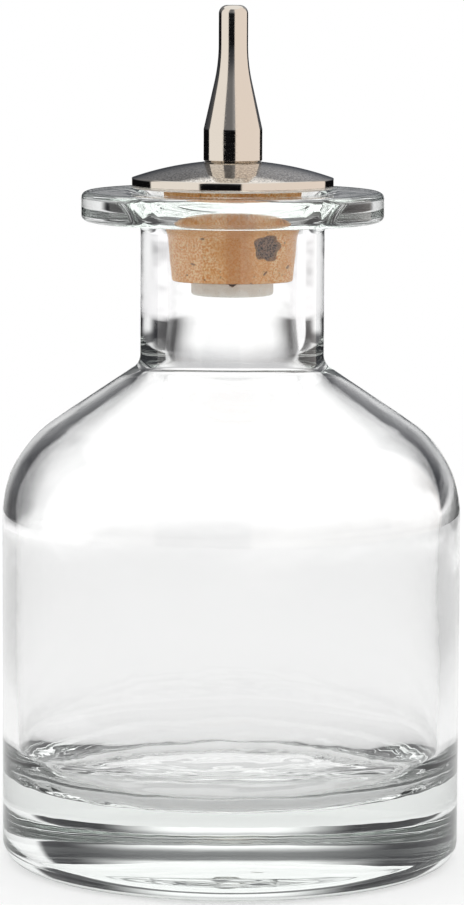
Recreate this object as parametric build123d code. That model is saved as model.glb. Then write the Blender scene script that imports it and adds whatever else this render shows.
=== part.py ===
from build123d import *
import math
import os

# Bitters bottle with a dasher stopper, at real size in millimetres.
# The origin is on the bottle's axis, on the surface that it stands on. +Z is up, and -Y is the front.

# Bottle: body and base
body_radius = 35.0
body_wall = 2.5
base_corner_radius = 3.2
bearing_ring_width = 2.8
push_up_depth = 3.0
floor_height = 12.6
floor_corner_radius = 6.5

# Bottle: shoulder
shoulder_corner_height = 62.4
shoulder_slope_degrees = 33.7
shoulder_wall = 2.5
shoulder_corner_radius = 16.7

# Bottle: neck and flange
neck_radius = 14.0
neck_foot_radius = 2.6
neck_length = 21.6
flange_radius = 23.0
flange_thickness = 4.5
flange_edge_radius = 1.0
flange_root_radius = 1.8
mouth_bore_radius = 10.05
mouth_edge_radius = 6.5
throat_bore_radius = 9.8
throat_corner_radius = 13.0

# Cork
cork_clearance = 0.1
cork_taper_degrees = 5.6
cork_depth = 13.35
cork_edge_radius = 0.35
pit_width = 4.4
pit_depth = 0.9
pit_height_above_bottom = 5.5
pit_turn_degrees = 30.0

# Dome
dome_gap = 0.5
dome_radius = 15.35
dome_rim_height = 1.55
dome_rise = 2.62
dome_edge_radius = 0.25
dome_land_margin = 0.15

# Stem
stem_radius = 2.5
stem_bore_radius = 1.25
stem_clearance = 0.06
stem_tip_chamfer = 0.4
stem_flange_radius = 6.25
stem_flange_thickness = 2.2
stem_flange_edge_radius = 0.5
seat_clearance = 0.04
notch_width = 1.8
notch_depth = 0.65
notch_length = 2.2

# Spout
spout_foot_radius = 4.47
spout_foot_chamfer = 0.3
spout_collar_height = 4.95
spout_cone_degrees = 12.8
spout_tip_radius = 2.23
spout_tip_edge_radius = 1.3
spout_flare_radius = 26.5
spout_height = 23.6
spout_socket_depth = 6.6
spout_channel_radius = 0.95
dash_hole_radius = 0.6
dash_hole_length = 1.2
drill_point_degrees = 31.0
thread_end_gap = 0.4

# One overrun for every cut that runs out of a solid
cut_overrun = 1.0


def slope_per_mm(degrees):
    """Length gained per millimetre along a line at this angle."""
    return math.tan(math.radians(degrees))


# Radii and heights that follow from the sizes above
push_up_radius = body_radius - base_corner_radius - bearing_ring_width
shoulder_rise = slope_per_mm(shoulder_slope_degrees)
shoulder_drop = shoulder_wall / math.cos(math.radians(shoulder_slope_degrees))
neck_foot_height = shoulder_corner_height + (body_radius - neck_radius) * shoulder_rise
flange_bottom = neck_foot_height + neck_length
flange_top = flange_bottom + flange_thickness
cork_bottom = flange_top - cork_depth
dome_bottom = flange_top + dome_gap
dome_rim_top = dome_bottom + dome_rim_height
dome_land_radius = spout_foot_radius + dome_land_margin
dome_sphere_radius = (dome_radius**2 + dome_rise**2) / (2 * dome_rise)


def dome_height_at(radius):
    """Height of the dome's ball surface at a distance from the axis."""
    ball_centre = dome_rim_top + dome_rise - dome_sphere_radius
    return ball_centre + math.sqrt(dome_sphere_radius**2 - radius**2)


dome_land_height = dome_height_at(dome_land_radius)
spout_bottom = dome_land_height + seat_clearance
spout_top = spout_bottom + spout_height
stem_top = spout_bottom + spout_socket_depth - thread_end_gap


def outline(corners, closed=True):
    """Line through (radius, height, corner radius) points, with each inner corner rounded."""
    places = [(radius, height) for radius, height, _ in corners]
    rounds = [corner for _, _, corner in corners]
    if closed:
        return FilletPolyline(*places, radius=rounds, close=True)
    return FilletPolyline(*places, radius=rounds[1:-1])


def turned(*curves):
    """Solid turned about the axis from a closed section of radii and heights."""
    return revolve(Plane.XZ * make_face(curves), Axis.Z)


def inner_cone_height(radius):
    """Height of the shoulder's inside face, drawn as a plain cone."""
    return shoulder_corner_height + (body_radius - radius) * shoulder_rise - shoulder_drop


def bore_radius_at(height):
    """Radius of the neck's slightly tapered bore, without its roundings."""
    bore_length = flange_top - inner_cone_height(throat_bore_radius)
    lean = (mouth_bore_radius - throat_bore_radius) / bore_length
    return mouth_bore_radius - (flange_top - height) * lean


def cork_radius_at(height):
    """Radius of the tapered cork, which comes nearest to the glass low on the mouth's rounding."""
    taper = math.radians(cork_taper_degrees)
    tight_height = flange_top - mouth_edge_radius * (1 - math.sin(taper))
    mouth_swell = mouth_edge_radius * (1 - math.cos(taper))
    tight_radius = bore_radius_at(tight_height) + mouth_swell - cork_clearance
    return tight_radius + (height - tight_height) * math.tan(taper)


def make_glass_bottle():
    """Hollow glass body, shoulder, neck and flange, on a thick base with a shallow push-up."""
    inner_radius = body_radius - body_wall
    wall_line = outline(
        [
            (push_up_radius, 0, 0),
            (body_radius, 0, base_corner_radius),
            (body_radius, shoulder_corner_height, shoulder_corner_radius),
            (neck_radius, neck_foot_height, neck_foot_radius),
            (neck_radius, flange_bottom, flange_root_radius),
            (flange_radius, flange_bottom, flange_edge_radius),
            (flange_radius, flange_top, flange_edge_radius),
            (mouth_bore_radius, flange_top, mouth_edge_radius),
            (throat_bore_radius, inner_cone_height(throat_bore_radius), throat_corner_radius),
            (inner_radius, inner_cone_height(inner_radius), shoulder_corner_radius - shoulder_wall),
            (inner_radius, floor_height, floor_corner_radius),
            (0, floor_height, 0),
        ],
        closed=False,
    )
    axis_line = Line((0, floor_height), (0, push_up_depth))
    push_up = ThreePointArc((0, push_up_depth), push_up_middle(), (push_up_radius, 0))
    return turned(wall_line, axis_line, push_up)


def push_up_middle():
    """Point half-way out on the push-up, which is part of a ball with its top on the axis."""
    ball_radius = (push_up_radius**2 + push_up_depth**2) / (2 * push_up_depth)
    half_way = push_up_radius / 2
    drop = ball_radius - math.sqrt(ball_radius**2 - half_way**2)
    return (half_way, push_up_depth - drop)


def make_cork_stopper():
    """Tapered cork with a bore for the stem, and the large natural pit in its front."""
    bore_radius = stem_radius + stem_clearance
    body = turned(
        outline(
            [
                (bore_radius, cork_bottom, 0),
                (cork_radius_at(cork_bottom), cork_bottom, cork_edge_radius),
                (cork_radius_at(dome_bottom), dome_bottom, 0),
                (bore_radius, dome_bottom, 0),
            ]
        )
    )
    pit_height = cork_bottom + pit_height_above_bottom
    pit_ball_radius = ((pit_width / 2) ** 2 + pit_depth**2) / (2 * pit_depth)
    pit_reach = cork_radius_at(pit_height) + pit_ball_radius - pit_depth
    turn = math.radians(pit_turn_degrees)
    pit_centre = (pit_reach * math.sin(turn), -pit_reach * math.cos(turn), pit_height)
    return body - Pos(*pit_centre) * Sphere(pit_ball_radius)


def make_dome_cap():
    """Domed disc with an upright rim, a flat land for the spout and a hole for the stem."""
    hole_radius = stem_radius + stem_clearance
    ball_centre = dome_rim_top + dome_rise - dome_sphere_radius
    rounding_reach = dome_sphere_radius - dome_edge_radius
    rounding_radius = dome_radius - dome_edge_radius
    rounding_height = ball_centre + math.sqrt(rounding_reach**2 - rounding_radius**2)
    dome_start_radius = rounding_radius * dome_sphere_radius / rounding_reach
    middle_radius = (dome_start_radius + dome_land_radius) / 2
    lower_line = outline(
        [
            (dome_land_radius, dome_land_height, 0),
            (hole_radius, dome_land_height, 0),
            (hole_radius, dome_bottom, 0),
            (dome_radius, dome_bottom, dome_edge_radius),
            (dome_radius, rounding_height, 0),
        ],
        closed=False,
    )
    dome_start = (dome_start_radius, dome_height_at(dome_start_radius))
    rim_rounding = TangentArc((dome_radius, rounding_height), dome_start, tangent=(0, 1))
    dome_arc = ThreePointArc(
        dome_start,
        (middle_radius, dome_height_at(middle_radius)),
        (dome_land_radius, dome_land_height),
    )
    return turned(lower_line, rim_rounding, dome_arc)


def make_dasher_spout():
    """Turned spout: straight collar, cone, slim tip, threaded socket and a small dash hole."""
    socket_radius = stem_radius + stem_clearance
    socket_top = spout_bottom + spout_socket_depth
    collar_top = spout_bottom + spout_collar_height
    cone_length = (spout_foot_radius - spout_tip_radius) / slope_per_mm(spout_cone_degrees)
    drill_point = (socket_radius - spout_channel_radius) * slope_per_mm(drill_point_degrees)
    channel_top = spout_top - dash_hole_length
    channel_point = (spout_channel_radius - dash_hole_radius) * slope_per_mm(drill_point_degrees)
    return turned(
        outline(
            [
                (socket_radius, spout_bottom, 0),
                (spout_foot_radius - spout_foot_chamfer, spout_bottom, 0),
                (spout_foot_radius, spout_bottom + spout_foot_chamfer, 0),
                (spout_foot_radius, collar_top, 0),
                (spout_tip_radius, collar_top + cone_length, spout_flare_radius),
                (spout_tip_radius, spout_top, spout_tip_edge_radius),
                (dash_hole_radius, spout_top, 0),
                (dash_hole_radius, channel_top, 0),
                (spout_channel_radius, channel_top - channel_point, 0),
                (spout_channel_radius, socket_top + drill_point, 0),
                (socket_radius, socket_top, 0),
            ]
        )
    )


def make_flow_stem():
    """Hollow threaded stem with a round flange that bears on the cork's lower face."""
    top_face = cork_bottom - seat_clearance
    bottom_face = top_face - stem_flange_thickness
    body = turned(
        outline(
            [
                (stem_bore_radius, bottom_face, 0),
                (stem_flange_radius, bottom_face, stem_flange_edge_radius),
                (stem_flange_radius, top_face, 0),
                (stem_radius, top_face, 0),
                (stem_radius, stem_top - stem_tip_chamfer, 0),
                (stem_radius - stem_tip_chamfer, stem_top, 0),
                (stem_bore_radius, stem_top, 0),
            ]
        )
    )
    return body - notch_wedge(top_face)


def notch_wedge(top_face):
    """Wedge that cuts the V notch in the front of the flange's upper edge."""
    spread = (notch_depth + cut_overrun) / notch_depth
    half_width = notch_width / 2 * spread
    triangle = Polyline(
        (0, top_face - notch_depth),
        (half_width, top_face + cut_overrun),
        (-half_width, top_face + cut_overrun),
        close=True,
    )
    section = Pos(0, notch_length - stem_flange_radius, 0) * Plane.XZ * make_face(triangle)
    return extrude(section, notch_length + cut_overrun)


parts = {
    "glass_bottle": make_glass_bottle(),
    "cork_stopper": make_cork_stopper(),
    "dome_cap": make_dome_cap(),
    "dasher_spout": make_dasher_spout(),
    "flow_stem": make_flow_stem(),
}

os.makedirs("parts", exist_ok=True)
for name, shape in parts.items():
    shape.label = name
    export_step(shape, f"parts/{name}.step")

print(f"flange top {flange_top:.2f}, cork bottom {cork_bottom:.2f}, spout tip {spout_top:.2f}")
print(f"stem top {stem_top:.2f}, spout bottom {spout_bottom:.2f}, throat {throat_bore_radius:.2f}")
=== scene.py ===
import math
import random

import bmesh
import bpy
from mathutils import Matrix, Vector, noise


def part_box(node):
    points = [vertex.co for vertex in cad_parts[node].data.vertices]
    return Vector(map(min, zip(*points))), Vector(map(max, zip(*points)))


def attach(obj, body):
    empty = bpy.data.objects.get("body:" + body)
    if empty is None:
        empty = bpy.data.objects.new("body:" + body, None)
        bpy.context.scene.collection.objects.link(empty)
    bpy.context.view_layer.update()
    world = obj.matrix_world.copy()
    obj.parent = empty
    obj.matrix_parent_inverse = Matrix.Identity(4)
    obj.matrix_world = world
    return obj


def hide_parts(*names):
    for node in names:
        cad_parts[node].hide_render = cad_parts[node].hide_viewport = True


print("frame: loading the packed model")
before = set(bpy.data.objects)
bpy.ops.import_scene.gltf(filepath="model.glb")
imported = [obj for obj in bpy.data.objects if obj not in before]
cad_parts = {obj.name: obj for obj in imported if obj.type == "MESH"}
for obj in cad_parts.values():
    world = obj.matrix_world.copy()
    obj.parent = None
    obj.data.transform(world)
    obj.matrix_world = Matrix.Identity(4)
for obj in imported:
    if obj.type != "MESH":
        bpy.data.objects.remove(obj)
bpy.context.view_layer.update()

mm = 0.001  # the model is in metres

# The same sizes as in the source of the solids, and what only shows: waves, stipple and tint
bottle = {
    "bodyRadius": 35.0 * mm,
    "bodyWall": 2.5 * mm,
    "baseCorner": 3.2 * mm,
    "bearingRing": 2.8 * mm,
    "pushUp": 3.0 * mm,
    "floorHeight": 12.6 * mm,
    "floorCorner": 6.5 * mm,
    "shoulderHeight": 62.4 * mm,
    "shoulderSlope": 33.7,  # degrees
    "shoulderWall": 2.5 * mm,
    "shoulderCorner": 16.7 * mm,
    "neckRadius": 14.0 * mm,
    "neckFoot": 2.6 * mm,
    "neckLength": 21.6 * mm,
    "flangeRadius": 23.0 * mm,
    "flangeThickness": 4.5 * mm,
    "flangeEdge": 1.0 * mm,
    "flangeRoot": 1.8 * mm,
    "mouthRadius": 10.05 * mm,
    "mouthEdge": 6.5 * mm,
    "throatRadius": 9.8 * mm,
    "throatCorner": 13.0 * mm,
    "coreShift": 0.4 * mm,  # the inside was blown a little off centre
    "innerWave": 0.16 * mm,
    "innerWaveSize": (14 * mm, 14 * mm, 20 * mm),
    "innerWaveTop": 66 * mm,
    "innerWaveFade": 14 * mm,
    "outerWave": 0.035 * mm,
    "outerWaveSize": (18 * mm, 18 * mm, 26 * mm),
    "outerWaveSpan": (3 * mm, 76 * mm),
    "floorWave": 0.30 * mm,
    "floorWaveFade": 5 * mm,
    "swirlSize": (9 * mm, 5 * mm),
    "rippleSize": (1.15 * mm, 12 * mm),
    "fineSize": (3.5 * mm, 1.6 * mm),
    "floorShares": (0.9, 0.18, 0.30),  # of swirl, ripples and fine waves
    "ringStipple": 0.16 * mm,
    "turns": 320,
    "step": 1.1 * mm,
    "arcStep": 4.0,  # degrees
    "underStep": 2 * mm,
    "sharp": 40.0,  # degrees; a blunter edge than this is smooth
    "ior": 1.5,
    "tint": (0.955, 0.978, 0.963),
    "tintDensity": 20.0,
    "lookThrough": (0.97, 0.975, 0.972),  # what each wall lets through to light the rest
    "ripple": 0.03 * mm,
    "rippleScale": (0.10, 0.10, 0.16),  # waves per millimetre
    "ringGrain": 0.16 * mm,
    "ringGrainScale": (1.5, 1.5, 1.5),
    "ringEdge": 0.2 * mm,
    "ringTop": 0.3 * mm,
}


def slopePerMm(degrees):
    return math.tan(math.radians(degrees))


def roundedLine(corners, step, arcStep):
    # Corners (radius, height, rounding) become a finely divided line of (place, index of its corner)
    ends = []
    for i, (x, y, size) in enumerate(corners):
        here = Vector((x, y))
        if size == 0 or i in (0, len(corners) - 1):
            ends.append([(here, i)])
            continue
        toLast = (Vector(corners[i - 1][:2]) - here).normalized()
        toNext = (Vector(corners[i + 1][:2]) - here).normalized()
        half = toLast.angle(toNext) / 2
        centre = here + (toLast + toNext).normalized() * size / math.sin(half)
        start = here + toLast * size / math.tan(half) - centre
        sweep = math.pi - 2 * half
        sign = 1 if start.x * toLast.y - start.y * toLast.x < 0 else -1
        count = max(3, math.ceil(math.degrees(sweep) / arcStep))
        arc = []
        for k in range(count + 1):
            turned = Matrix.Rotation(sign * sweep * k / count, 2) @ start
            arc.append((centre + turned, i))
        ends.append(arc)
    line = []
    for arc in ends:
        if line:
            last, corner = line[-1]
            gap = arc[0][0] - last
            count = max(1, math.ceil(gap.length / step))
            line += [(last + gap * k / count, corner) for k in range(1, count)]
        line += arc
    return line


def latheMesh(name, line, turns, loop, move=None):
    # Turns a line about the axis. With loop its ends are joined, otherwise they lie on the axis
    verts, faces, rings = [], [], []
    for index, (place, corner) in enumerate(line):
        onAxis = not loop and index in (0, len(line) - 1)
        ring = []
        for k in range(1 if onAxis else turns):
            angle = 2 * math.pi * k / turns
            radius, height = (0.0 if onAxis else place.x), place.y
            point = Vector((radius * math.sin(angle), -radius * math.cos(angle), height))
            ring.append(len(verts))
            verts.append(move(point, radius, angle, corner) if move else point)
        rings.append(ring)
    pairs = list(zip(rings, rings[1:] + rings[:1] if loop else rings[1:]))
    for low, high in pairs:
        for k in range(turns):
            n = (k + 1) % turns
            if len(low) == 1:
                faces.append((low[0], high[n], high[k]))
            elif len(high) == 1:
                faces.append((low[k], low[n], high[0]))
            else:
                faces.append((low[k], low[n], high[n], high[k]))
    mesh = bpy.data.meshes.new(name)
    mesh.from_pydata(verts, [], faces)
    return mesh


def finishMesh(mesh, sharpDegrees):
    # Outward faces, smooth but for real edges
    work = bmesh.new()
    work.from_mesh(mesh)
    bmesh.ops.recalc_face_normals(work, faces=work.faces)
    work.to_mesh(mesh)
    work.free()
    mesh.polygons.foreach_set("use_smooth", [True] * len(mesh.polygons))
    mesh.set_sharp_from_angle(angle=math.radians(sharpDegrees))
    mesh.update()


def addPiece(name, mesh, material, body, node):
    piece = bpy.data.objects.new(name, mesh)
    bpy.context.scene.collection.objects.link(piece)
    mesh.materials.append(material)
    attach(piece, body)
    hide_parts(node)
    return piece


def softNoise(x, y, z):
    return noise.noise(Vector((x, y, z)))


def makeNode(tree, kind, **settings):
    node = tree.nodes.new(kind)
    for key, value in settings.items():
        setattr(node, key, value)
    return node


def plug(tree, socket, value):
    # A socket gets a link or a plain value
    if isinstance(value, bpy.types.NodeSocket):
        tree.links.new(value, socket)
    else:
        socket.default_value = value


def maths(tree, operation, *values):
    node = makeNode(tree, "ShaderNodeMath", operation=operation)
    for socket, value in zip(node.inputs, values):
        plug(tree, socket, value)
    return node.outputs[0]


def spread(tree, value, low, high, toLow=0.0, toHigh=1.0):
    # A smooth step from one value to the other between low and high
    node = makeNode(tree, "ShaderNodeMapRange", interpolation_type="SMOOTHSTEP")
    plug(tree, node.inputs["Value"], value)
    for name, number in (
        ("From Min", low), ("From Max", high), ("To Min", toLow), ("To Max", toHigh)
    ):
        node.inputs[name].default_value = number
    return node.outputs["Result"]


def blendColours(tree, factor, first, second):
    node = makeNode(tree, "ShaderNodeMix", data_type="RGBA")
    plug(tree, node.inputs["Factor"], factor)
    colourSockets = [s for s in node.inputs if s.type == "RGBA"]
    for socket, value in zip(colourSockets, (first, second)):
        plug(tree, socket, value if isinstance(value, bpy.types.NodeSocket) else (*value, 1.0))
    return [s for s in node.outputs if s.type == "RGBA"][0]


def noiseTexture(tree, vector, scale, detail=3.0, roughness=0.5, distortion=0.0):
    node = makeNode(tree, "ShaderNodeTexNoise")
    plug(tree, node.inputs["Vector"], vector)
    for name, value in (
        ("Scale", scale), ("Detail", detail), ("Roughness", roughness), ("Distortion", distortion)
    ):
        plug(tree, node.inputs[name], value)
    return node.outputs["Fac"]


def stretched(tree, scale):
    # Object coordinates in millimetres, scaled along each axis
    coordinates = makeNode(tree, "ShaderNodeTexCoord")
    mapping = makeNode(tree, "ShaderNodeMapping")
    tree.links.new(coordinates.outputs["Object"], mapping.inputs["Vector"])
    mapping.inputs["Scale"].default_value = [value / mm for value in scale]
    return mapping.outputs["Vector"]


def placeParts(tree):
    # Object coordinates in metres
    coordinates = makeNode(tree, "ShaderNodeTexCoord")
    parts = makeNode(tree, "ShaderNodeSeparateXYZ")
    tree.links.new(coordinates.outputs["Object"], parts.inputs["Vector"])
    return parts.outputs


def fromAxis(tree, parts):
    squares = [maths(tree, "POWER", parts[axis], 2.0) for axis in "XY"]
    return maths(tree, "SQRT", maths(tree, "ADD", *squares))


def newMaterial(name):
    material = bpy.data.materials.new(name)
    material.use_nodes = True
    tree = material.node_tree
    tree.nodes.clear()
    output = makeNode(tree, "ShaderNodeOutputMaterial")
    shader = makeNode(tree, "ShaderNodeBsdfPrincipled")
    tree.links.new(shader.outputs["BSDF"], output.inputs["Surface"])
    return material, tree, shader, output


def bumpFrom(tree, height, strength, distance):
    node = makeNode(tree, "ShaderNodeBump")
    plug(tree, node.inputs["Height"], height)
    node.inputs["Strength"].default_value = strength
    node.inputs["Distance"].default_value = distance
    return node.outputs["Normal"]


print("camera: the photograph's viewing angle")
cameraSettings = {
    "distance": 640 * mm,
    "sideways": 0.06 * mm,
    "height": 139.4 * mm,
    "lookDown": 6.84,  # degrees
    "roll": 0.25,  # degrees
    "lens": 167.95,
    "sensor": 36.0,
    "clip": (0.05, 20.0),
}


def placeCamera():
    data = bpy.data.cameras.new("photoCamera")
    data.lens = cameraSettings["lens"]
    data.sensor_width = cameraSettings["sensor"]
    data.clip_start, data.clip_end = cameraSettings["clip"]
    camera = bpy.data.objects.new("photoCamera", data)
    tilt = Matrix.Rotation(math.radians(90 - cameraSettings["lookDown"]), 3, "X")
    roll = Matrix.Rotation(math.radians(cameraSettings["roll"]), 3, "Z")
    camera.rotation_euler = (tilt @ roll).to_euler()
    camera.location = (
        cameraSettings["sideways"], -cameraSettings["distance"], cameraSettings["height"]
    )
    bpy.context.scene.collection.objects.link(camera)
    bpy.context.scene.camera = camera


placeCamera()

print("studio: floor, room and lamps")
# Angles are in degrees: round the bottle from 0 at the camera, + to the right, and heights over the horizon
studio = {
    "seenWhite": (1.0, 1.0, 1.0),
    "plainLight": (0.93, 0.93, 0.93),
    # the floor
    "floorRadius": 0.45,
    "floorSides": 96,
    "floorColour": (0.86, 0.86, 0.86),
    "floorLift": 0.24,  # what brings the lit floor to white without more light
    "floorLiftInMetal": 0.10,
    "paintedGlowInGlass": (0.01, 0.33),  # painted light: glow near the bottle and far behind it
    "floorFar": (300 * mm, 446 * mm),
    # the floor as the glass shows it after so many reflections inside, with painted light and painted shade
    "heelCount": (1.5, 3.5),
    "paintedGlowInHeel": 0.25,
    "flangeCount": (2.5, 24.5),
    "paintedGlowInFlange": 1.15,
    "floorUnder": (34 * mm, 29.5 * mm),  # how far out that reaches, and how far after many
    "manyCount": 9.5,
    "wallCount": (0.5, 1.5),
    "wallFar": (0.12, 0.26),
    "paintedShadeInWall": 0.50,  # painted shade: how much is left of the floor's colour where the side walls mirror it
    "baseCount": 3.5,
    "paintedShadeInBase": 0.12,  # painted shade: and after more reflections than that in the thick base
    "countEdge": 0.1,
    # what polished metal and the glass's surface mirror
    "leftBox": (-107.0, -38.0),
    "leftBoxColour": (1.15, 1.12, 1.09),
    "rightBox": (10.0, 130.0),
    "rightBoxColour": (1.11, 1.02, 0.96),
    "boxEdge": 1.5,
    "boxHeight": (-40.0, 58.0),
    "boxHeightEdge": 3.0,
    "backWhite": 167.0,
    "backWhiteEdge": 3.0,
    "backWhiteColour": (1.10, 1.10, 1.10),
    "backWhiteTop": 1.0,
    "backWhiteTopEdge": 1.0,
    "flagColour": (0.005, 0.005, 0.006),
    "flagToRoom": (-2.0, 4.0),  # heights between which the dark below gives way to the room behind
    "roomLow": (0.05, 0.055, 0.065),
    "roomColour": (0.25, 0.255, 0.27),
    "roomRise": (4.0, 24.0),  # and between which that room gets lighter
    "roomToRight": (0.9, 1.6),  # darker behind on the left, lighter on the right
    "roomTurn": 0.12,
    "topBox": (77.0, 42.0),  # how high its middle is over the back, and its reach
    "topBoxEdge": 0.03,
    "topBoxColour": (1.15, 1.15, 1.15),
    # what shows through the glass
    "leftFlag": (124.0, 165.5),  # how far round to its own side a flag stands
    "rightFlag": (134.0, 164.0),
    "flagEdge": 3.0,
    "flagFade": 8.5,  # the soft edge towards the back
    "flagLean": (0.5, 0.20),  # how far round the front edges move for each degree up, left and right
    "flagFoot": (-6.0, -3.5),  # heights between which the flags begin
    "flagTop": (22.0, 30.0),  # and end
    "flagInGlass": (0.02, 0.02, 0.023),
    "sideInGlass": (1.02, 1.01, 1.02),
    "sideToBack": (150.0, 160.0),
    "backInGlass": (1.15, 1.15, 1.15),
    "backHighInGlass": (0.60, 0.60, 0.61),
    "backFade": (5.0, 17.0),  # heights between which the back turns grey
    "backRise": (19.0, 25.0),  # and white again
    # what shows after a reflection inside the glass
    "innerSide": (0.03, 0.03, 0.034),
    "innerTurn": (147.0, 174.0),  # how far round the side gives way to the back
    "innerHigh": (0.20, 0.20, 0.205),
    "innerFade": (3.0, 13.0),
    "innerRise": (20.0, 24.0),
    "innerRight": (90.0, 138.0),  # a lit stretch after just one reflection
    "innerRightEdge": 2.5,
    "innerTop": (0.30, 0.30, 0.30),  # overhead in front
    "innerTopBack": (0.95, 0.95, 0.95),
    "innerTopTurn": 0.2,
}


def degreesRound(tree, parts):
    back = maths(tree, "MULTIPLY", parts.outputs["Y"], -1.0)
    angle = maths(tree, "ARCTAN2", parts.outputs["X"], back)
    return maths(tree, "MULTIPLY", angle, 180 / math.pi)


def risesAt(tree, value, place, edge):
    return spread(tree, value, place - edge, place + edge)


def fallsAt(tree, value, place, edge):
    return spread(tree, value, place - edge, place + edge, 1.0, 0.0)


def inWindow(tree, value, low, high, edge):
    return maths(tree, "MULTIPLY", risesAt(tree, value, low, edge), fallsAt(tree, value, high, edge))


def overheadMask(tree, parts):
    # The round lamp above
    middle, reach = (math.radians(value) for value in studio["topBox"])
    upward = maths(tree, "MULTIPLY", parts.outputs["Z"], math.sin(middle))
    toTop = maths(tree, "MULTIPLY_ADD", parts.outputs["Y"], math.cos(middle), upward)
    return risesAt(tree, toTop, math.cos(reach), studio["topBoxEdge"])


def mirroredLook(tree, parts, around, rise, overhead):
    # What metal and the glass's surface mirror
    s = studio
    tall = inWindow(tree, rise, *s["boxHeight"], s["boxHeightEdge"])
    room = blendColours(tree, spread(tree, rise, *s["roomRise"]), s["roomLow"], s["roomColour"])
    across = spread(tree, parts.outputs["X"], -s["roomTurn"], s["roomTurn"], *s["roomToRight"])
    shade = makeNode(tree, "ShaderNodeVectorMath", operation="SCALE")
    tree.links.new(room, shade.inputs[0])
    tree.links.new(across, shade.inputs["Scale"])
    upper = spread(tree, rise, *s["flagToRoom"])
    look = blendColours(tree, upper, s["flagColour"], shade.outputs["Vector"])
    look = blendColours(tree, overhead, look, s["topBoxColour"])
    for span, colour in ((s["leftBox"], s["leftBoxColour"]), (s["rightBox"], s["rightBoxColour"])):
        box = inWindow(tree, around, *span, s["boxEdge"])
        look = blendColours(tree, maths(tree, "MULTIPLY", box, tall), look, colour)
    behind = risesAt(tree, maths(tree, "ABSOLUTE", around), s["backWhite"], s["backWhiteEdge"])
    low = fallsAt(tree, rise, s["backWhiteTop"], s["backWhiteTopEdge"])
    return blendColours(tree, maths(tree, "MULTIPLY", behind, low), look, s["backWhiteColour"])


def backLook(tree, rise, fade, whiteAgain, grey):
    # White that turns grey higher up, and white again above that
    high = maths(tree, "SUBTRACT", spread(tree, rise, *fade), spread(tree, rise, *whiteAgain))
    return blendColours(tree, high, studio["backInGlass"], grey)


def flagMask(tree, around, rise):
    # Two dark flags behind the bottle, each leaning at its front edge and soft towards the middle
    s = studio
    raised = maths(tree, "MAXIMUM", rise, 0.0)
    flags = []
    for sign, (start, end), lean in (
        (-1.0, s["leftFlag"], s["flagLean"][0]), (1.0, s["rightFlag"], s["flagLean"][1])
    ):
        side = maths(tree, "MULTIPLY", around, sign)
        leaning = maths(tree, "MULTIPLY_ADD", raised, -lean, side)
        front = risesAt(tree, leaning, start, s["flagEdge"])
        flags.append(maths(tree, "MULTIPLY", front, fallsAt(tree, side, end, s["flagFade"])))
    foot = spread(tree, rise, *s["flagFoot"])
    standing = maths(tree, "MULTIPLY", foot, spread(tree, rise, *s["flagTop"], 1.0, 0.0))
    return maths(tree, "MULTIPLY", maths(tree, "MAXIMUM", *flags), standing)


def throughLook(tree, around, rise, overhead):
    # What is seen through the glass
    s = studio
    back = backLook(tree, rise, s["backFade"], s["backRise"], s["backHighInGlass"])
    toBack = spread(tree, maths(tree, "ABSOLUTE", around), *s["sideToBack"])
    look = blendColours(tree, toBack, s["sideInGlass"], back)
    look = blendColours(tree, flagMask(tree, around, rise), look, s["flagInGlass"])
    return blendColours(tree, overhead, look, s["topBoxColour"])


def innerLook(tree, parts, around, rise, overhead, reflections):
    # What is seen after a reflection inside the glass
    s = studio
    back = backLook(tree, rise, s["innerFade"], s["innerRise"], s["innerHigh"])
    toBack = spread(tree, maths(tree, "ABSOLUTE", around), *s["innerTurn"])
    look = blendColours(tree, toBack, s["innerSide"], back)
    behind = risesAt(tree, parts.outputs["Y"], 0.0, s["innerTopTurn"])
    look = blendColours(tree, overhead, look, blendColours(tree, behind, s["innerTop"], s["innerTopBack"]))
    lit = inWindow(tree, around, *s["innerRight"], s["innerRightEdge"])
    lit = maths(tree, "MULTIPLY", maths(tree, "LESS_THAN", reflections, 1.5), lit)
    look = blendColours(tree, lit, look, s["sideInGlass"])
    return blendColours(tree, spread(tree, rise, *s["flagFoot"]), s["sideInGlass"], look)


def makeRoom():
    world = bpy.data.worlds.new("studioRoom")
    bpy.context.scene.world = world
    world.use_nodes = True
    tree = world.node_tree
    tree.nodes.clear()
    output = makeNode(tree, "ShaderNodeOutputWorld")
    background = makeNode(tree, "ShaderNodeBackground")
    tree.links.new(background.outputs["Background"], output.inputs["Surface"])
    coordinates = makeNode(tree, "ShaderNodeTexCoord")
    parts = makeNode(tree, "ShaderNodeSeparateXYZ")
    tree.links.new(coordinates.outputs["Generated"], parts.inputs["Vector"])
    around = degreesRound(tree, parts)
    rise = maths(tree, "MULTIPLY", maths(tree, "ARCSINE", parts.outputs["Z"]), 180 / math.pi)
    overhead = overheadMask(tree, parts)
    path = makeNode(tree, "ShaderNodeLightPath")
    reflections = path.outputs["Glossy Depth"]
    mirrored = mirroredLook(tree, parts, around, rise, overhead)
    through = throughLook(tree, around, rise, overhead)
    inner = innerLook(tree, parts, around, rise, overhead, reflections)
    through = blendColours(tree, maths(tree, "GREATER_THAN", reflections, 0.5), through, inner)
    colour = studio["plainLight"]
    looks = {
        "Is Glossy Ray": mirrored,
        "Is Transmission Ray": through,
        "Is Camera Ray": studio["seenWhite"],
    }
    for ray, look in looks.items():
        colour = blendColours(tree, path.outputs[ray], colour, look)
    tree.links.new(colour, background.inputs["Color"])


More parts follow.
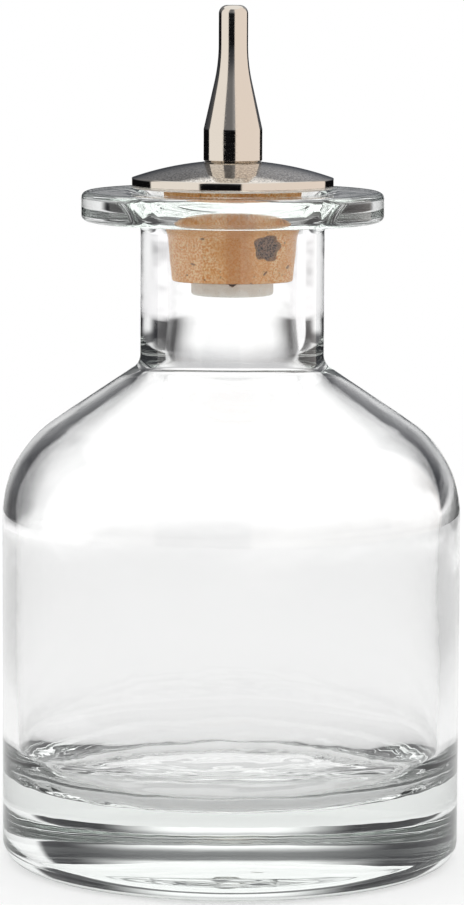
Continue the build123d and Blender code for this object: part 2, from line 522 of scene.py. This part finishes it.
def paleFloor():
    # Plain for the camera; in glass its colour and lift follow how often the light was reflected, as
    # painted light and painted shade
    s = studio
    material, tree, shader, output = newMaterial("paleFloor")
    shader.inputs["Roughness"].default_value = 1.0
    shader.inputs["Specular IOR Level"].default_value = 0.0
    path = makeNode(tree, "ShaderNodeLightPath")
    inGlass = path.outputs["Is Transmission Ray"]
    reflections = path.outputs["Glossy Depth"]
    place = makeNode(tree, "ShaderNodeNewGeometry")
    length = makeNode(tree, "ShaderNodeVectorMath", operation="LENGTH")
    tree.links.new(place.outputs["Position"], length.inputs[0])
    away = length.outputs["Value"]

    def counted(span):
        return inWindow(tree, reflections, *span, s["countEdge"])

    def without(mask):
        return maths(tree, "SUBTRACT", 1.0, mask)

    wide, narrow = s["floorUnder"]
    many = maths(tree, "GREATER_THAN", reflections, s["manyCount"])
    under = maths(tree, "LESS_THAN", away, maths(tree, "MULTIPLY_ADD", many, narrow - wide, wide))
    inHeel = maths(tree, "MULTIPLY", counted(s["heelCount"]), without(under))
    inFlange = maths(tree, "MULTIPLY", counted(s["flangeCount"]), under)
    # painted light: in glass the floor glows more far behind the bottle, in the heel and under the flange
    lift = spread(tree, away, *s["floorFar"], *s["paintedGlowInGlass"])
    lift = maths(tree, "MULTIPLY_ADD", inHeel, s["paintedGlowInHeel"], lift)
    lift = maths(tree, "MULTIPLY_ADD", inFlange, s["paintedGlowInFlange"], lift)
    inMetal = maths(tree, "MULTIPLY", path.outputs["Is Glossy Ray"], s["floorLiftInMetal"])
    lift = maths(tree, "MULTIPLY_ADD", inGlass, lift, inMetal)
    lift = maths(tree, "MULTIPLY_ADD", path.outputs["Is Camera Ray"], s["floorLift"], lift)
    inWall = maths(tree, "MULTIPLY", counted(s["wallCount"]), spread(tree, away, *s["wallFar"]))
    inBase = maths(tree, "GREATER_THAN", reflections, s["baseCount"])
    inBase = maths(tree, "MULTIPLY", inBase, without(inFlange))
    # painted shade: in glass the floor is drawn darker where the side walls and the thick base mirror it
    colour = s["floorColour"]
    for mask, kept in ((inWall, s["paintedShadeInWall"]), (inBase, s["paintedShadeInBase"])):
        darker = [value * kept for value in s["floorColour"]]
        colour = blendColours(tree, maths(tree, "MULTIPLY", mask, inGlass), colour, darker)
    tree.links.new(colour, shader.inputs["Base Color"])
    shader.inputs["Emission Color"].default_value = (1.0, 1.0, 1.0, 1.0)
    tree.links.new(lift, shader.inputs["Emission Strength"])
    return material


def makeFloor():
    mesh = bpy.data.meshes.new("studioFloor")
    work = bmesh.new()
    bmesh.ops.create_circle(
        work, cap_ends=True, segments=studio["floorSides"], radius=studio["floorRadius"]
    )
    work.to_mesh(mesh)
    work.free()
    floor = bpy.data.objects.new("studioFloor", mesh)
    bpy.context.scene.collection.objects.link(floor)
    mesh.materials.append(paleFloor())


makeRoom()
makeFloor()

print("bottle: clear glass, turned from its section")


def bottleLine():
    b = bottle
    rise = slopePerMm(b["shoulderSlope"])
    drop = b["shoulderWall"] / math.cos(math.radians(b["shoulderSlope"]))
    innerRadius = b["bodyRadius"] - b["bodyWall"]
    neckFootHeight = b["shoulderHeight"] + (b["bodyRadius"] - b["neckRadius"]) * rise
    flangeBottom = neckFootHeight + b["neckLength"]
    flangeTop = flangeBottom + b["flangeThickness"]

    def innerCone(radius):
        return b["shoulderHeight"] + (b["bodyRadius"] - radius) * rise - drop

    ringInner = b["bodyRadius"] - b["baseCorner"] - b["bearingRing"]
    outer = [
        (ringInner, 0.0, 0.0),
        (b["bodyRadius"], 0.0, b["baseCorner"]),
        (b["bodyRadius"], b["shoulderHeight"], b["shoulderCorner"]),
        (b["neckRadius"], neckFootHeight, b["neckFoot"]),
        (b["neckRadius"], flangeBottom, b["flangeRoot"]),
        (b["flangeRadius"], flangeBottom, b["flangeEdge"]),
        (b["flangeRadius"], flangeTop, b["flangeEdge"]),
        (b["mouthRadius"], flangeTop, b["mouthEdge"]),
        (b["throatRadius"], innerCone(b["throatRadius"]), b["throatCorner"]),
        (innerRadius, innerCone(innerRadius), b["shoulderCorner"] - b["shoulderWall"]),
        (innerRadius, b["floorHeight"], b["floorCorner"]),
        (0.0, b["floorHeight"], 0.0),
    ]
    ballRadius = (ringInner**2 + b["pushUp"] ** 2) / (2 * b["pushUp"])
    count = math.ceil(ringInner / b["underStep"])
    under = []
    for k in range(count):
        radius = ringInner * k / count
        fall = ballRadius - math.sqrt(ballRadius**2 - radius**2)
        under.append((Vector((radius, b["pushUp"] - fall)), -1))
    return under + roundedLine(outer, b["step"], b["arcStep"]), ringInner


def moveGlass(ringInner):
    b = bottle
    random.seed(11)
    ringOuter = b["bodyRadius"] - b["baseCorner"]

    def scaled(point, sizes):
        return [value / size for value, size in zip(point, sizes)]

    def floorWave(x, y, radius):
        ring, wander = b["rippleSize"]
        swirl = softNoise(*scaled((x, y), b["swirlSize"]), 3.1)
        ripple = math.sin(radius / ring + 5 * softNoise(x / wander, y / wander, 9.7))
        fine = softNoise(*scaled((x, y), b["fineSize"]), 1.7)
        return sum(share * wave for share, wave in zip(b["floorShares"], (swirl, ripple, fine)))

    def move(point, radius, angle, corner):
        x, y, z = point
        if corner >= 8 and z < b["innerWaveTop"]:
            # inside of the body and its floor
            fade = min(1.0, (b["innerWaveTop"] - z) / b["innerWaveFade"])
            across, along, up = scaled(point, b["innerWaveSize"])
            share = fade * b["innerWave"] * softNoise(across, along, up + 5) / max(radius, 1 * mm)
            point = Vector((x * (1 + share) - fade * b["coreShift"], y * (1 + share), z))
            if corner >= 10:
                flat = 1 - min(1.0, max(0.0, (z - b["floorHeight"]) / b["floorWaveFade"]))
                point.z += flat * b["floorWave"] * floorWave(x, y, radius)
        elif ringInner + 0.2 * mm < radius < ringOuter - 0.1 * mm and z < 0.05 * mm:
            point.z += b["ringStipple"] * random.random()
        elif 0 <= corner <= 3 and b["outerWaveSpan"][0] < z < b["outerWaveSpan"][1]:
            wave = 0.5 + 0.5 * softNoise(*scaled(point, b["outerWaveSize"]))
            share = 1 - b["outerWave"] * wave / radius
            point = Vector((x * share, y * share, z))
        return point

    return move


def clearGlass():
    b = bottle
    material, tree, shader, output = newMaterial("clearGlass")
    shader.inputs["Base Color"].default_value = (1.0, 1.0, 1.0, 1.0)
    shader.inputs["Roughness"].default_value = 0.0
    shader.inputs["IOR"].default_value = b["ior"]
    shader.inputs["Transmission Weight"].default_value = 1.0
    ripple = noiseTexture(tree, stretched(tree, b["rippleScale"]), 1.0, 2.0)
    # the bearing ring is stippled
    parts = placeParts(tree)
    ringOuter = b["bodyRadius"] - b["baseCorner"]
    onRing = inWindow(tree, fromAxis(tree, parts), ringOuter - b["bearingRing"], ringOuter, b["ringEdge"])
    onRing = maths(tree, "MULTIPLY", onRing, maths(tree, "LESS_THAN", parts["Z"], b["ringTop"]))
    stipple = noiseTexture(tree, stretched(tree, b["ringGrainScale"]), 1.0, 1.0)
    stipple = maths(tree, "MULTIPLY", stipple, onRing)
    height = maths(tree, "MULTIPLY_ADD", stipple, b["ringGrain"] / b["ripple"], ripple)
    plug(tree, shader.inputs["Normal"], bumpFrom(tree, height, 1.0, b["ripple"]))
    lets = makeNode(tree, "ShaderNodeBsdfTransparent")
    lets.inputs["Color"].default_value = (*b["lookThrough"], 1.0)
    path = makeNode(tree, "ShaderNodeLightPath")
    either = makeNode(tree, "ShaderNodeMixShader")
    tree.links.new(path.outputs["Is Shadow Ray"], either.inputs["Fac"])
    tree.links.new(shader.outputs["BSDF"], either.inputs[1])
    tree.links.new(lets.outputs["BSDF"], either.inputs[2])
    tree.links.new(either.outputs["Shader"], output.inputs["Surface"])
    inside = makeNode(tree, "ShaderNodeVolumeAbsorption")
    inside.inputs["Color"].default_value = (*b["tint"], 1.0)
    inside.inputs["Density"].default_value = b["tintDensity"]
    tree.links.new(inside.outputs["Volume"], output.inputs["Volume"])
    return material


def makeBottle():
    line, ringInner = bottleLine()
    mesh = latheMesh("glassBottle", line, bottle["turns"], False, moveGlass(ringInner))
    finishMesh(mesh, bottle["sharp"])
    return addPiece("glassBottle", mesh, clearGlass(), "bottle", "glass_bottle")


makeBottle()

print("cork: tapered stopper with pores")
cork = {
    "boreRadius": 2.56 * mm,
    "radius": 10.5 * mm,  # at the height of the flange's top
    "taper": 5.6,  # degrees
    "edge": 0.35 * mm,
    "step": 0.16 * mm,
    "arcStep": 12.0,  # degrees
    "turns": 400,
    "sharp": 50.0,  # degrees
    "pores": 170,
    "poreDepth": 0.22 * mm,
    "cellsPerRadian": 8,  # the pores are looked up by angle
    "grain": 0.045 * mm,
    "pitTurn": 30.0,  # degrees to the right of the front
    "pitHeight": 5.5 * mm,  # above the cork's lower face
    "pitWidth": 4.4 * mm,
    "pitDepth": 0.9 * mm,
    "paintedShadeBand": (1.4 * mm, 5.0 * mm),  # painted shade: a darker band in front, before it wanders
    "paintedShadeWander": 4 * mm,
    "paintedShadeEdge": 1.0 * mm,
    "paintedShadeShare": 0.55,
    "paintedShadeColour": (0.60, 0.22, 0.05),
    "fineScale": (3.4, 3.4, 3.2),  # grains per millimetre
    "broadScale": (0.28, 0.28, 0.16),
    "cellScale": (3.4, 3.4, 3.0),
    "speckScale": (1.5, 1.5, 1.1),
    "dark": (0.80, 0.31, 0.07),
    "light": (1.0, 0.70, 0.38),
    "broadColour": (0.80, 0.36, 0.10),
    "speckColour": (0.25, 0.10, 0.04),
    "hollowColour": (0.14, 0.065, 0.03),
    "bark": ((0.025, 0.015, 0.01), (0.34, 0.20, 0.13)),
    "roughness": 0.82,
    "shine": 0.25,
    "bump": 0.6,
    "bumpDepth": 0.10 * mm,
    # pores that can be told apart in front: degrees, height above the lower face, length, width, lean
    "seenPores": [
        (54, 2.4 * mm, 1.0 * mm, 0.8 * mm, 20),
        (29, 1.6 * mm, 1.1 * mm, 0.4 * mm, 50),
        (-42, 1.2 * mm, 0.5 * mm, 0.4 * mm, 0),
        (-35, 2.9 * mm, 1.1 * mm, 0.4 * mm, -15),
        (-25, 6.8 * mm, 0.9 * mm, 0.5 * mm, 10),
    ],
}


def corkPores(low, high):
    random.seed(5)
    pores = []
    for turn, height, long, wide, lean in cork["seenPores"]:
        pores.append((math.radians(turn), low + height, long, wide, math.radians(lean), 1.0))
    for _ in range(cork["pores"]):
        long = random.uniform(0.15, 0.55) * mm
        pores.append((
            random.uniform(-math.pi, math.pi), random.uniform(low, high), long,
            long * random.uniform(0.35, 0.8), random.uniform(-0.9, 0.9), random.uniform(0.3, 0.8),
        ))
    return pores


def makeCork():
    low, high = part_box("cork_stopper")
    slope = slopePerMm(cork["taper"])
    wholeRadius = cork["radius"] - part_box("glass_bottle")[1].z * slope

    def radiusAt(height):
        return wholeRadius + height * slope

    corners = [
        (cork["boreRadius"], low.z, 0.0),
        (radiusAt(low.z), low.z, cork["edge"]),
        (radiusAt(high.z), high.z, 0.0),
        (cork["boreRadius"], high.z, 0.0),
    ]
    line = roundedLine(corners, cork["step"], cork["arcStep"])
    pores = corkPores(low.z, high.z)

    def cellOf(angle):
        return math.floor(angle * cork["cellsPerRadian"])

    cells = {}  # the pores near each angle
    for pore in pores:
        for near in (-1, 0, 1):
            cells.setdefault(cellOf(pore[0]) + near, []).append(pore)
    pitAngle = math.radians(cork["pitTurn"])
    pitHeight = low.z + cork["pitHeight"]

    def move(point, radius, angle, corner):
        if radius < radiusAt(low.z) - 0.3 * mm:
            if corner == 0 and radius > cork["boreRadius"] + 0.1 * mm:
                x, y, z = point / mm
                return point + Vector((0, 0, cork["grain"] * (0.5 + softNoise(x * 3, y * 3, z))))
            return point
        turned = angle if angle <= math.pi else angle - 2 * math.pi
        x, y, z = point / mm
        inward = cork["grain"] * (0.5 + 0.5 * softNoise(x * 2.2, y * 2.2, z * 2.2))
        inward += cork["grain"] * 0.6 * (0.5 + 0.5 * softNoise(x * 6, y * 6, z * 6))
        for poreAngle, height, long, wide, lean, depth in cells.get(cellOf(turned), ()):
            across = (turned - poreAngle) * radius
            up = point.z - height
            u = (across * math.cos(lean) + up * math.sin(lean)) / (long / 2)
            v = (up * math.cos(lean) - across * math.sin(lean)) / (wide / 2)
            reach = u * u + v * v
            if reach < 1:
                inward += cork["poreDepth"] * depth * (1 - reach) ** 0.5
        across = (turned - pitAngle) * radius
        up = point.z - pitHeight
        bearing = math.atan2(up, across)
        uneven = 0.16 * softNoise(2 * math.cos(bearing), 2 * math.sin(bearing), 4.4)
        uneven += 0.10 * math.sin(5 * bearing + 1)
        reach = math.hypot(across, up) / (cork["pitWidth"] / 2 * (1 + uneven))
        if reach < 1:
            bottom = 0.75 + 0.35 * softNoise(x * 1.6, y * 1.6, z * 1.6)
            bottom += 0.2 * softNoise(x * 4, y * 4, z * 4)
            inward += cork["pitDepth"] * bottom * min(1.0, (1 - reach) * 3.2)
        share = 1 - inward / radius
        return Vector((point.x * share, point.y * share, point.z))

    mesh = latheMesh("corkStopper", line, cork["turns"], True, move)
    finishMesh(mesh, cork["sharp"])
    material = naturalCork(wholeRadius, slope)
    return addPiece("corkStopper", mesh, material, "stopper", "cork_stopper")


def naturalCork(wholeRadius, slope):
    c = cork
    material, tree, shader, output = newMaterial("naturalCork")
    fine = noiseTexture(tree, stretched(tree, c["fineScale"]), 1.0, 5.0, 0.65)
    broad = noiseTexture(tree, stretched(tree, c["broadScale"]), 1.0, 2.0)
    cells = makeNode(tree, "ShaderNodeTexVoronoi", feature="F1")
    tree.links.new(stretched(tree, c["cellScale"]), cells.inputs["Vector"])
    cells.inputs["Scale"].default_value = 1.0
    colour = blendColours(tree, spread(tree, fine, 0.40, 0.60), c["dark"], c["light"])
    colour = blendColours(tree, spread(tree, broad, 0.40, 0.62, 0.0, 0.5), colour, c["broadColour"])
    specks = noiseTexture(tree, stretched(tree, c["speckScale"]), 1.0, 4.0, 0.7)
    specks = maths(tree, "MULTIPLY", spread(tree, specks, 0.62, 0.70), 0.75)
    colour = blendColours(tree, specks, colour, c["speckColour"])
    parts = placeParts(tree)
    # painted shade: a dark band drawn only on the front half of the cork
    wander = maths(tree, "MULTIPLY_ADD", broad, c["paintedShadeWander"], parts["X"])
    paintedShadeBand = inWindow(tree, wander, *c["paintedShadeBand"], c["paintedShadeEdge"])
    paintedShadeBand = maths(tree, "MULTIPLY", paintedShadeBand, maths(tree, "LESS_THAN", parts["Y"], 0.0))
    paintedShadeBand = maths(tree, "MULTIPLY", paintedShadeBand, c["paintedShadeShare"])
    colour = blendColours(tree, paintedShadeBand, colour, c["paintedShadeColour"])
    # pores and pit are told by how deep the surface lies in the whole cone
    whole = maths(tree, "MULTIPLY_ADD", parts["Z"], slope, wholeRadius)
    depth = maths(tree, "SUBTRACT", whole, fromAxis(tree, parts))
    onSide = spread(tree, depth, 1.6 * mm, 1.8 * mm, 1.0, 0.0)
    hollow = maths(tree, "MULTIPLY", spread(tree, depth, 0.10 * mm, 0.24 * mm), onSide)
    deep = maths(tree, "MULTIPLY", spread(tree, depth, 0.30 * mm, 0.55 * mm), onSide)
    bark = blendColours(tree, spread(tree, fine, 0.40, 0.60), *c["bark"])
    colour = blendColours(tree, maths(tree, "MULTIPLY", hollow, 0.8), colour, c["hollowColour"])
    tree.links.new(blendColours(tree, deep, colour, bark), shader.inputs["Base Color"])
    shader.inputs["Roughness"].default_value = c["roughness"]
    shader.inputs["Specular IOR Level"].default_value = c["shine"]
    height = maths(tree, "ADD", maths(tree, "MULTIPLY", cells.outputs["Distance"], 0.35), fine)
    plug(tree, shader.inputs["Normal"], bumpFrom(tree, height, c["bump"], c["bumpDepth"]))
    return material


makeCork()

print("dome and spout: polished metal")
metal = {
    "colour": (0.66, 0.61, 0.545),
    "roughness": (0.02, 0.07),
    "markDepth": 0.01 * mm,
    "speckleScale": (3.0, 3.0, 3.0),  # specks per millimetre
    "speckleEdge": 0.2 * mm,
    "speckleDark": (0.30, 0.29, 0.28),
    "speckleLight": (0.98, 0.96, 0.94),
}
dome = {
    "radius": 15.35 * mm,
    "rimHeight": 1.55 * mm,
    "rise": 2.62 * mm,
    "edge": 0.25 * mm,
    "landRadius": 4.62 * mm,
    "step": 1.2 * mm,
    "arcStep": 15.0,  # degrees
    "edgeSteps": 8,
    "domeSteps": 60,
    "turns": 360,
    "sharp": 30.0,  # degrees
    "scratches": 0.5,
    "bump": 0.05,
}
spout = {
    "footRadius": 4.47 * mm,
    "footChamfer": 0.3 * mm,
    "collarHeight": 4.95 * mm,
    "collarEase": 0.8 * mm,
    "coneAngle": 12.8,  # degrees
    "tipRadius": 2.23 * mm,
    "tipEdge": 1.3 * mm,
    "flare": 26.5 * mm,
    "socketRadius": 2.56 * mm,
    "socketDepth": 6.6 * mm,
    "channelRadius": 0.95 * mm,
    "holeRadius": 0.6 * mm,
    "holeLength": 1.2 * mm,
    "drillPoint": 31.0,  # degrees
    "step": 0.5 * mm,
    "arcStep": 1.5,  # degrees
    "turns": 256,
    "sharp": 20.0,  # degrees
    "scratches": 1.0,
    "bump": 0.12,
}


def handlingMarksGroup():
    # Hairline scratches and faint cloudiness, for every metal here
    tree = bpy.data.node_groups.new("handlingMarks", "ShaderNodeTree")
    tree.interface.new_socket("Vector", in_out="INPUT", socket_type="NodeSocketVector")
    for name in ("Scratches", "Low", "High"):
        tree.interface.new_socket(name, in_out="INPUT", socket_type="NodeSocketFloat")
    for name in ("Roughness", "Height"):
        tree.interface.new_socket(name, in_out="OUTPUT", socket_type="NodeSocketFloat")
    enter = makeNode(tree, "NodeGroupInput")
    leave = makeNode(tree, "NodeGroupOutput")
    lines = []
    for turn, size in ((0.5, 1.0), (2.1, 0.8), (4.0, 1.3)):
        mapping = makeNode(tree, "ShaderNodeMapping")
        tree.links.new(enter.outputs["Vector"], mapping.inputs["Vector"])
        mapping.inputs["Rotation"].default_value = (turn, turn * 0.7, turn * 1.3)
        mapping.inputs["Scale"].default_value = (0.16 * size, 0.16 * size, 2.2 * size)
        value = noiseTexture(tree, mapping.outputs["Vector"], 1.0, 1.0, 0.4, 0.6)
        near = maths(tree, "ABSOLUTE", maths(tree, "SUBTRACT", value, 0.5))
        lines.append(spread(tree, near, 0.0, 0.006, 1.0, 0.0))
    marks = maths(tree, "MAXIMUM", lines[0], maths(tree, "MAXIMUM", lines[1], lines[2]))
    cloud = spread(tree, noiseTexture(tree, enter.outputs["Vector"], 0.35, 3.0), 0.35, 0.7)
    marked = maths(tree, "MULTIPLY", marks, enter.outputs["Scratches"])
    span = maths(tree, "SUBTRACT", enter.outputs["High"], enter.outputs["Low"])
    worn = maths(tree, "MAXIMUM", cloud, marked)
    roughness = maths(tree, "MULTIPLY_ADD", worn, span, enter.outputs["Low"])
    tree.links.new(roughness, leave.inputs["Roughness"])
    tree.links.new(maths(tree, "MULTIPLY", marked, -1.0), leave.inputs["Height"])
    return tree


marksGroup = handlingMarksGroup()


def marksNode(tree, scratches, low, high):
    node = makeNode(tree, "ShaderNodeGroup", node_tree=marksGroup)
    vector = stretched(tree, (1.0, 1.0, 1.0))
    for name, value in (("Vector", vector), ("Scratches", scratches), ("Low", low), ("High", high)):
        plug(tree, node.inputs[name], value)
    return node


def polishedMetal(name, scratches, bump, speckleFrom=None):
    # speckleFrom is the height above which the metal is finely speckled
    material, tree, shader, output = newMaterial(name)
    shader.inputs["Base Color"].default_value = (*metal["colour"], 1.0)
    shader.inputs["Metallic"].default_value = 1.0
    marks = marksNode(tree, scratches, *metal["roughness"])
    tree.links.new(marks.outputs["Roughness"], shader.inputs["Roughness"])
    plug(tree, shader.inputs["Normal"], bumpFrom(tree, marks.outputs["Height"], bump, metal["markDepth"]))
    if speckleFrom is not None:
        grain = noiseTexture(tree, stretched(tree, metal["speckleScale"]), 1.0, 2.0, 0.7)
        above = spread(tree, placeParts(tree)["Z"], speckleFrom, speckleFrom + metal["speckleEdge"])
        dark = maths(tree, "MULTIPLY", spread(tree, grain, 0.50, 0.38), above)
        light = maths(tree, "MULTIPLY", spread(tree, grain, 0.56, 0.68), above)
        colour = blendColours(tree, dark, metal["colour"], metal["speckleDark"])
        colour = blendColours(tree, light, colour, metal["speckleLight"])
        tree.links.new(colour, shader.inputs["Base Color"])
    return material


def makeDome():
    low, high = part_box("dome_cap")
    d = dome
    rimTop = low.z + d["rimHeight"]
    ball = (d["radius"] ** 2 + d["rise"] ** 2) / (2 * d["rise"])
    centre = rimTop + d["rise"] - ball
    roundRadius = d["radius"] - d["edge"]
    roundHeight = centre + math.sqrt((ball - d["edge"]) ** 2 - roundRadius**2)
    lean = math.asin(roundRadius / (ball - d["edge"]))
    landLean = math.asin(d["landRadius"] / ball)
    corners = [
        (d["landRadius"], high.z, 0.0),
        (spout["socketRadius"], high.z, 0.0),
        (spout["socketRadius"], low.z, 0.0),
        (d["radius"], low.z, d["edge"]),
        (d["radius"], roundHeight, 0.0),
    ]
    line = roundedLine(corners, d["step"], d["arcStep"])
    for k in range(1, d["edgeSteps"] + 1):  # the rounding over the rim
        turn = (math.pi / 2 - lean) * k / d["edgeSteps"]
        radius = roundRadius + d["edge"] * math.cos(turn)
        line.append((Vector((radius, roundHeight + d["edge"] * math.sin(turn))), 5))
    for k in range(1, d["domeSteps"]):  # the dome itself
        turn = lean + (landLean - lean) * k / d["domeSteps"]
        line.append((Vector((ball * math.sin(turn), centre + ball * math.cos(turn))), 6))
    mesh = latheMesh("domeCap", line, d["turns"], True)
    finishMesh(mesh, d["sharp"])
    material = polishedMetal("polishedDome", d["scratches"], d["bump"], rimTop)
    return addPiece("domeCap", mesh, material, "stopper", "dome_cap")


def makeSpout():
    low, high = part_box("dasher_spout")
    s = spout
    socketTop = low.z + s["socketDepth"]
    collarTop = low.z + s["collarHeight"]
    coneLength = (s["footRadius"] - s["tipRadius"]) / slopePerMm(s["coneAngle"])
    channelTop = high.z - s["holeLength"]
    point = (s["socketRadius"] - s["channelRadius"]) * slopePerMm(s["drillPoint"])
    tipPoint = (s["channelRadius"] - s["holeRadius"]) * slopePerMm(s["drillPoint"])
    corners = [
        (s["socketRadius"], low.z, 0.0),
        (s["footRadius"] - s["footChamfer"], low.z, 0.0),
        (s["footRadius"], low.z + s["footChamfer"], 0.0),
        (s["footRadius"], collarTop, s["collarEase"]),
        (s["tipRadius"], collarTop + coneLength, s["flare"]),
        (s["tipRadius"], high.z, s["tipEdge"]),
        (s["holeRadius"], high.z, 0.0),
        (s["holeRadius"], channelTop, 0.0),
        (s["channelRadius"], channelTop - tipPoint, 0.0),
        (s["channelRadius"], socketTop + point, 0.0),
        (s["socketRadius"], socketTop, 0.0),
    ]
    line = roundedLine(corners, s["step"], s["arcStep"])
    mesh = latheMesh("dasherSpout", line, s["turns"], True)
    finishMesh(mesh, s["sharp"])
    material = polishedMetal("polishedSpout", s["scratches"], s["bump"])
    return addPiece("dasherSpout", mesh, material, "spout", "dasher_spout")


makeDome()
makeSpout()

print("stem: dull flange with its notch, and the thread")
stem = {
    "radius": 2.5 * mm,
    "boreRadius": 1.25 * mm,
    "tipChamfer": 0.4 * mm,
    "flangeRadius": 6.25 * mm,
    "flangeThickness": 2.2 * mm,
    "flangeEdge": 0.5 * mm,
    "notchWidth": 1.8 * mm,
    "notchDepth": 0.65 * mm,
    "notchLength": 2.2 * mm,
    "threadPitch": 0.8 * mm,
    "threadDepth": 0.45 * mm,
    "threadRunOut": 1.0 * mm,
    "threadBelow": 0.6 * mm,  # how far below the dome's top the thread starts
    "threadSteps": 14,  # per turn
    "threadCrest": 0.12,  # as a share of half a turn
    "wallLeft": 0.5 * mm,  # what the thread leaves round the bore
    "step": 0.18 * mm,
    "endStep": 0.5 * mm,
    "arcStep": 12.0,  # degrees
    "turns": 240,
    "sharp": 28.0,  # degrees
    "blotchScale": (0.55, 0.55, 0.8),  # blotches per millimetre
    "blotches": ((0.90, 0.83, 0.72), (1.0, 0.96, 0.87)),
    "gritScale": (4.0, 4.0, 4.0),
    "gritColour": (0.30, 0.28, 0.25),
    "metallic": 0.15,
    "roughness": (0.38, 0.62),
    "scratches": 0.6,
    "bump": 0.35,
    "bumpDepth": 0.05 * mm,
}


def makeStem():
    low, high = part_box("flow_stem")
    s = stem
    flangeTop = low.z + s["flangeThickness"]
    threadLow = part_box("dome_cap")[1].z - s["threadBelow"]
    corners = [
        (s["boreRadius"], low.z, 0.0),
        (s["flangeRadius"], low.z, s["flangeEdge"]),
        (s["flangeRadius"], flangeTop, 0.0),
        (s["flangeRadius"] - s["notchLength"], flangeTop, 0.0),
        (s["flangeRadius"] - s["notchLength"] - 0.05 * mm, flangeTop, 0.0),
        (s["radius"], flangeTop, 0.0),
        (s["radius"], threadLow, 0.0),
        (s["radius"], high.z - s["tipChamfer"], 0.0),
        (s["radius"] - s["tipChamfer"], high.z, 0.0),
        (s["boreRadius"], high.z, 0.0),
    ]
    line = roundedLine(corners[:7], s["step"], s["arcStep"])
    line += roundedLine(corners[6:9], s["threadPitch"] / s["threadSteps"], s["arcStep"])[1:]
    line += roundedLine(corners[8:], s["endStep"], s["arcStep"])[1:]
    notchStart = s["flangeRadius"] - s["notchLength"] - 0.01 * mm
    start = low.z + s["flangeEdge"]

    def move(point, radius, angle, corner):
        x, y, z = point
        if z <= flangeTop + 1e-9 and radius > notchStart and y < 0 and z > start:
            valley = flangeTop - s["notchDepth"] * max(0.0, 1 - abs(x) / (s["notchWidth"] / 2))
            return Vector((x, y, start + (z - start) * (valley - start) / (flangeTop - start)))
        if z > threadLow and radius > s["radius"] - s["tipChamfer"] - 1e-9:
            phase = (z / s["threadPitch"] - angle / (2 * math.pi)) % 1.0
            crest = s["threadCrest"]
            groove = min(1.0, max(0.0, (abs(phase - 0.5) * 2 - crest) / (1 - 2 * crest)))
            fade = min(1.0, (z - threadLow) / s["threadRunOut"])
            cut = max(radius - s["threadDepth"] * groove * fade, s["boreRadius"] + s["wallLeft"])
            return Vector((x * cut / radius, y * cut / radius, z))
        return point

    mesh = latheMesh("flowStem", line, s["turns"], True, move)
    finishMesh(mesh, s["sharp"])
    return addPiece("flowStem", mesh, dullMetal(), "stem", "flow_stem")


def dullMetal():
    material, tree, shader, output = newMaterial("dullMetal")
    blotch = noiseTexture(tree, stretched(tree, stem["blotchScale"]), 1.0, 4.0, 0.6)
    colour = blendColours(tree, spread(tree, blotch, 0.35, 0.65), *stem["blotches"])
    grit = noiseTexture(tree, stretched(tree, stem["gritScale"]), 1.0, 3.0, 0.6)
    colour = blendColours(tree, spread(tree, grit, 0.60, 0.75, 0.0, 0.5), colour, stem["gritColour"])
    tree.links.new(colour, shader.inputs["Base Color"])
    shader.inputs["Metallic"].default_value = stem["metallic"]
    marks = marksNode(tree, stem["scratches"], *stem["roughness"])
    tree.links.new(marks.outputs["Roughness"], shader.inputs["Roughness"])
    height = maths(tree, "ADD", grit, marks.outputs["Height"])
    plug(tree, shader.inputs["Normal"], bumpFrom(tree, height, stem["bump"], stem["bumpDepth"]))
    return material


makeStem()

bouncesInGlass = 40  # light runs far inside thick glass
bpy.context.scene.view_settings.view_transform = "Standard"
for limit in ("max_bounces", "glossy_bounces", "transmission_bounces"):
    setattr(bpy.context.scene.cycles, limit, bouncesInGlass)
